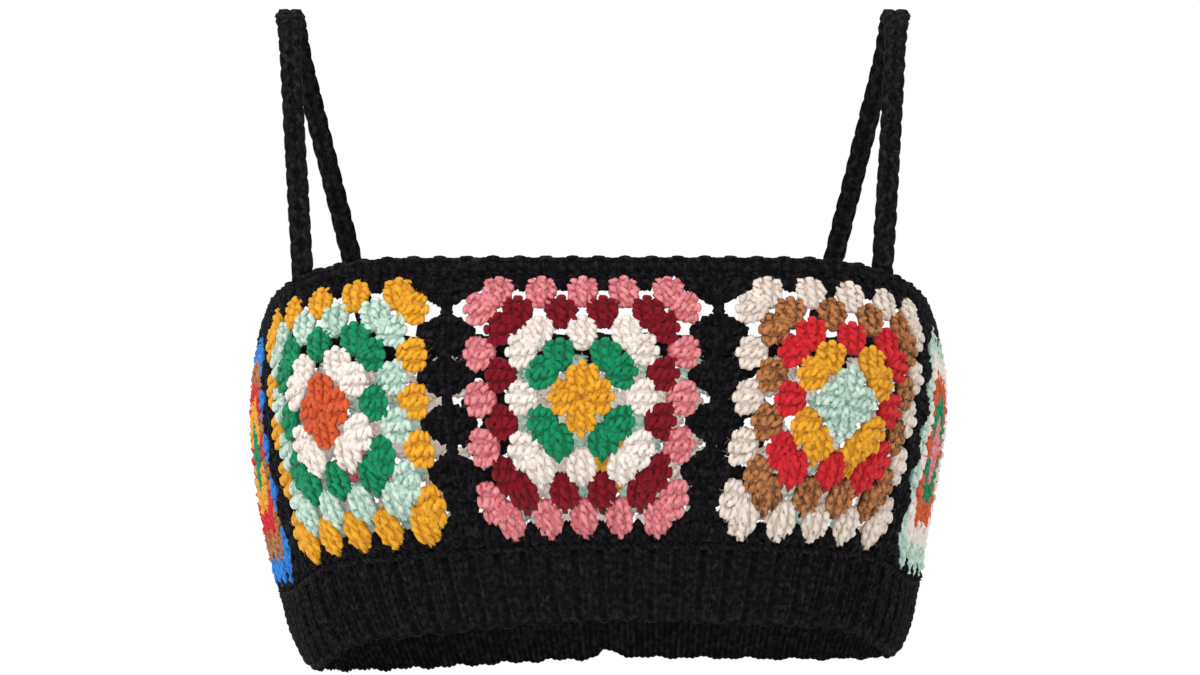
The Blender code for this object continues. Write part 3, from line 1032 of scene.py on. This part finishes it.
def add_strap_core(skein, strap):
    along = (np.linspace(0, 1, CORD_STEPS) * (strap.length / MM))[:, None]
    angle = TAU * np.arange(CORD_SIDES) / CORD_SIDES
    points = stacked(along, -CORD_HALF * np.cos(angle), CORD_THROUGH * np.sin(angle))
    faces = tube_faces(1, CORD_STEPS, CORD_SIDES)
    skein.add_wall(strap.lay(points), faces, CORD_SHADE, 0)


# A strap's stitches: millimetres along and through, lengths in rows, shares of half the width across
STRAP_ROW = 4.4
STRAP_END = 0.6
SLANT_LENGTH = 1.5
SLANT_BEFORE = 0.17
SLANT_COLUMN = 0.42
SLANT_ACROSS = 0.34
SLANT_STRAY = 0.05
SLANT_THROUGH = 1.15
SLANT_ARCH = 0.65
SLANT_EDGE_BACK = 0.25

# The bumps along its edges
BUMP_LENGTH = 2.4
BUMP_BEFORE = 0.2
BUMP_ACROSS = 0.73
BUMP_ARCH = 0.09
BUMP_THICK = 0.9

# The strands that sew its feet on, with their top and length in metres
SEWN_STRANDS = 5
SEWN_HALF = 0.8
SEWN_TOP = 0.0015
SEWN_LENGTH = 0.0055


def add_strap_stitches(skein, strap):
    """Rows of slanting stitches on both faces, bumps along both edges, and the sewing of both feet."""
    strand = strand_radius("strap_strand")
    length = strap.length / MM
    rows = int(length / STRAP_ROW)
    pitch = length / rows
    share = np.linspace(0, 1, STITCH_STEPS)
    arch = np.sin(math.pi * share)
    ends = (STRAP_END, length - STRAP_END)
    slants = []
    bumps = []
    for row in range(rows):
        start = row * pitch
        along = np.clip(start + SLANT_LENGTH * pitch * (share - SLANT_BEFORE), *ends)
        for face in (-1, 1):
            for column in (-1, 1):
                slope = 1 if (row + (column > 0)) % 2 else -1
                across = column * SLANT_COLUMN + slope * SLANT_ACROSS * (2 * share - 1)
                across = across + skein.stray(SLANT_STRAY)
                through = face * (SLANT_THROUGH + SLANT_ARCH * arch - SLANT_EDGE_BACK * np.abs(across))
                slants.append(stacked(along, across, through))
        edge = 1 if row % 2 else -1
        along = np.clip(start + BUMP_LENGTH * pitch * (share - BUMP_BEFORE), *ends)
        bumps.append(stacked(along, edge * (BUMP_ACROSS + BUMP_ARCH * arch), 0.0))
    on_strap = {"scale": (1.0, STRAP_LEG_WIDTH / 2 / MM, 1.0), "middle": 0.0}
    slant_thick = strand * rounded_ends(STITCH_STEPS, least=0.6)
    skein.strands(np.array(slants), slant_thick, 0, strap.lay, **on_strap)
    bump_thick = BUMP_THICK * strand * rounded_ends(STITCH_STEPS, least=0.75)
    skein.strands(np.array(bumps), bump_thick, 0, strap.lay, **on_strap)
    sewn = []
    for end in (0, -1):
        for place in np.linspace(-SEWN_HALF, SEWN_HALF, SEWN_STRANDS):
            foot = strap.line[end] + strap.across[end] * place * STRAP_LEG_WIDTH / 2
            sewn.append(foot + np.outer(SEWN_TOP - SEWN_LENGTH * share, (0, 0, 1)))
    metres = (1 / MM, 1 / MM, 1 / MM)
    skein.strands(np.array(sewn), slant_thick, 0, lambda points: points, scale=metres, middle=0.0)


def make_strap(name, side):
    """A crocheted cord: a soft core under its stitches."""
    strap = StrapForm(side)
    core = Skein(500 + side)
    add_strap_core(core, strap)
    core_object = core.mesh_object(name + "_core", [yarn("black")])
    stitches = Skein(510 + side)
    add_strap_stitches(stitches, strap)
    worked = stitches.mesh_object(name + "_stitches", [yarn("black")])
    declare_sheet(core_object, worked, name)


def thickness(name, description, default):
    return bpy.props.FloatProperty(name=name, description=description, default=default, unit="LENGTH")


def share_of_one(name, description, default):
    return bpy.props.FloatProperty(name=name, description=description, default=default, subtype="FACTOR")


def yarn_colour(name):
    """A colour property for one yarn, with the yarn's own colour as its default."""
    return bpy.props.FloatVectorProperty(
        name=name.capitalize(), description=f"Colour of the {name} yarn", default=YARNS[name].colour,
        min=0.0, max=1.0, subtype="COLOR",
    )


class CropTopYarn(bpy.types.PropertyGroup):
    """Sizes and finish of the yarn."""

    strand: thickness("Strand", "Thickness of one strand of the granny squares' yarn", 0.0029)
    rib_strand: thickness("Rib strand", "Thickness of the yarn of the knitted band", 0.0019)
    strap_strand: thickness("Strap strand", "Thickness of the yarn of the straps", 0.0026)
    ply_pitch: bpy.props.FloatProperty(
        name="Ply pitch", description="Millimetres along a strand in which its plies wind once", default=3.2
    )
    ply_relief: thickness("Ply relief", "Depth of the grooves between plies", 0.0002)
    crease_shade: share_of_one("Crease shade", "Brightness of the yarn deep in the creases", 0.72)
    black_crease_shade: share_of_one("Black crease shade", "The same for black yarn", 0.3)
    sheen: share_of_one("Sheen", "Soft light on the fibres of coloured yarn", 0.10)
    black_sheen: share_of_one("Black sheen", "Soft light on the fibres of black yarn", 0.02)


class CropTopColours(bpy.types.PropertyGroup):
    """Colours of the yarns."""

    __annotations__ = {name: yarn_colour(name) for name in YARNS}


class CropTopStage(bpy.types.PropertyGroup):
    """Camera, light and floor."""

    camera_place: bpy.props.FloatVectorProperty(
        name="Camera", description="Where the camera stands", default=(0.0031, -2.5, -0.3388), subtype="XYZ"
    )
    camera_rise: bpy.props.FloatProperty(
        name="Rise", description="How far up the camera looks", default=math.radians(4.685), subtype="ANGLE"
    )
    lens: bpy.props.FloatProperty(name="Lens", description="Focal length in millimetres", default=180.4)
    sky: bpy.props.FloatProperty(name="Sky", description="Strength of the light from all round", default=1.0)
    key: bpy.props.FloatProperty(
        name="Key", description="Power of the large light at the upper left", default=20.0, unit="POWER"
    )
    floor_height: bpy.props.FloatProperty(
        name="Floor", description="Height of the floor", default=-0.75, unit="LENGTH"
    )


class CROPTOP_OT_squares(bpy.types.Operator):
    """Crochets the eight granny squares round the body."""

    bl_idname = "croptop.squares"
    bl_label = "Granny squares"

    def execute(self, context):
        for index, name in enumerate(SQUARE_ROUNDS):
            make_square(index, name)
        return {"FINISHED"}


class CROPTOP_OT_rib_band(bpy.types.Operator):
    """Knits the ribbed band below the squares."""

    bl_idname = "croptop.rib_band"
    bl_label = "Ribbed band"

    def execute(self, context):
        wall = make_rib_wall()
        declare_sheet(wall, make_rib_stitches(), "rib_band")
        return {"FINISHED"}


class CROPTOP_OT_top_edging(bpy.types.Operator):
    """Crochets the row round the top edge."""

    bl_idname = "croptop.top_edging"
    bl_label = "Top edging"

    def execute(self, context):
        edging = make_top_edging()
        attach(edging, "root")
        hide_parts("top_edging")
        return {"FINISHED"}


class CROPTOP_OT_straps(bpy.types.Operator):
    """Crochets the two cord straps."""

    bl_idname = "croptop.straps"
    bl_label = "Straps"

    def execute(self, context):
        make_strap("strap_right", -1)
        make_strap("strap_left", 1)
        return {"FINISHED"}


FLOOR_RADIUS = 8.0
FLOOR_COLOUR = (0.93, 0.93, 0.93, 1.0)
KEY_PLACE = (-1.0, -1.8, 0.9)
KEY_AIM = (0, 0, -0.2)
KEY_SIZE = 1.2


def lay_floor(context, height):
    bpy.ops.mesh.primitive_circle_add(
        vertices=64, radius=FLOOR_RADIUS, fill_type="NGON", location=(0, 0, height)
    )
    floor = context.active_object
    floor.name = "floor"
    paint = bpy.data.materials.new("pale floor")
    paint.use_nodes = True
    shader = paint.node_tree.nodes["Principled BSDF"]
    shader.inputs["Base Color"].default_value = FLOOR_COLOUR
    shader.inputs["Roughness"].default_value = 0.9
    floor.data.materials.append(paint)


def hang_key(scene, power):
    """The large soft lamp at the upper left."""
    lamp = bpy.data.lights.new("key", "AREA")
    lamp.energy = power
    lamp.size = KEY_SIZE
    key = bpy.data.objects.new("key", lamp)
    key.location = KEY_PLACE
    key.rotation_euler = (Vector(KEY_AIM) - key.location).to_track_quat("-Z", "Y").to_euler()
    scene.collection.objects.link(key)


class CROPTOP_OT_stage(bpy.types.Operator):
    """Sets the floor, the soft light and the camera."""

    bl_idname = "croptop.stage"
    bl_label = "Stage"

    def execute(self, context):
        scene = context.scene
        stage = scene.crop_top_stage
        scene.view_settings.view_transform = "Standard"
        world = bpy.data.worlds.new("Soft white")
        world.use_nodes = True
        background = world.node_tree.nodes["Background"]
        background.inputs["Color"].default_value = (1.0, 1.0, 1.0, 1.0)
        background.inputs["Strength"].default_value = stage.sky
        scene.world = world
        lay_floor(context, stage.floor_height)
        hang_key(scene, stage.key)
        camera = bpy.data.objects.new("camera", bpy.data.cameras.new("camera"))
        camera.location = stage.camera_place
        camera.rotation_euler = (math.radians(90) + stage.camera_rise, 0, 0)
        camera.data.lens = stage.lens
        scene.collection.objects.link(camera)
        scene.camera = camera
        return {"FINISHED"}


class CROPTOP_PT_sidebar(bpy.types.Panel):
    """Lists the pieces of the crop top, their sizes and their colours."""

    bl_label = "Crop top"
    bl_idname = "CROPTOP_PT_sidebar"
    bl_space_type = "VIEW_3D"
    bl_region_type = "UI"
    bl_category = "Crop top"

    def draw(self, context):
        scene = context.scene
        for group in (scene.crop_top_yarn, scene.crop_top_colours, scene.crop_top_stage):
            for name in group.__annotations__:
                self.layout.prop(group, name)
        for operator in OPERATORS:
            self.layout.operator(operator.bl_idname)


OPERATORS = (
    CROPTOP_OT_squares,
    CROPTOP_OT_rib_band,
    CROPTOP_OT_top_edging,
    CROPTOP_OT_straps,
    CROPTOP_OT_stage,
)
GROUPS = {"crop_top_yarn": CropTopYarn, "crop_top_colours": CropTopColours, "crop_top_stage": CropTopStage}
CLASSES = (*GROUPS.values(), *OPERATORS, CROPTOP_PT_sidebar)


def register():
    for item in CLASSES:
        bpy.utils.register_class(item)
    for name, group in GROUPS.items():
        setattr(bpy.types.Scene, name, bpy.props.PointerProperty(type=group))


def unregister():
    for name in GROUPS:
        delattr(bpy.types.Scene, name)
    for item in reversed(CLASSES):
        bpy.utils.unregister_class(item)


def main():
    register()
    bpy.ops.croptop.squares()
    bpy.ops.croptop.rib_band()
    bpy.ops.croptop.top_edging()
    bpy.ops.croptop.straps()
    bpy.ops.croptop.stage()


if __name__ == "__main__":
    main()
